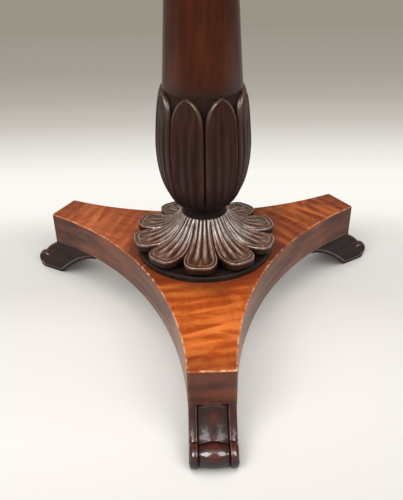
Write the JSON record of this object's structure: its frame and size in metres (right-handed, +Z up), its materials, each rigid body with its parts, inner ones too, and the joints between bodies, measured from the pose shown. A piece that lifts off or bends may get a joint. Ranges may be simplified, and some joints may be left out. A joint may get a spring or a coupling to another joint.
{
  "type": "pedestal occasional table",
  "caption": "Round mahogany occasional table on a carved lotus-leaf column, petal collar and concave three-armed platform with scroll feet.",
  "frame": {"origin": "on the floor under the column's axis", "axes": "+Z up along the column, -Y along the front arm"},
  "size_m": [0.56, 0.56, 0.725],
  "materials": {
    "figured_veneer": "french polished figured mahogany veneer",
    "plain_veneer": "satin plain mahogany",
    "column_wood": "polished dark mahogany, carved below",
    "carved_wood": "polished carved mahogany",
    "foot_wood": "glossy dark carved mahogany",
    "top_wood": "french polished mahogany",
    "ebonised_wood": "ebonised, dull",
    "core_wood": "unpolished mahogany",
    "dowel_wood": "unpolished beech",
    "screw_steel": "blued steel"
  },
  "bodies": {
    "root": {"platform_core": "core_wood", "platform_top_veneer_front": "figured_veneer", "platform_top_veneer_left": "figured_veneer", "platform_top_veneer_right": "figured_veneer", "platform_side_veneer_back": "plain_veneer", "platform_side_veneer_left": "plain_veneer", "platform_side_veneer_right": "plain_veneer", "platform_end_veneer_front": "plain_veneer", "platform_end_veneer_left": "plain_veneer", "platform_end_veneer_right": "plain_veneer", "scroll_foot_front": "foot_wood", "scroll_foot_left": "foot_wood", "scroll_foot_right": "foot_wood", "foot_dowel_front_1": "dowel_wood", "foot_dowel_front_2": "dowel_wood", "foot_dowel_left_1": "dowel_wood", "foot_dowel_left_2": "dowel_wood", "foot_dowel_right_1": "dowel_wood", "foot_dowel_right_2": "dowel_wood", "collar_disc": "ebonised_wood", "petal_collar": "carved_wood", "column": "column_wood", "tenon_wedge": "dowel_wood", "pillar_block": "plain_veneer", "bearer_front": "plain_veneer", "bearer_back": "plain_veneer", "table_top": "top_wood", "block_screw_1": "screw_steel", "block_screw_2": "screw_steel", "block_screw_3": "screw_steel", "block_screw_4": "screw_steel", "bearer_screw_front_1": "screw_steel", "bearer_screw_front_2": "screw_steel", "bearer_screw_front_3": "screw_steel", "bearer_screw_back_1": "screw_steel", "bearer_screw_back_2": "screw_steel", "bearer_screw_back_3": "screw_steel"}
  },
  "joints": []
}
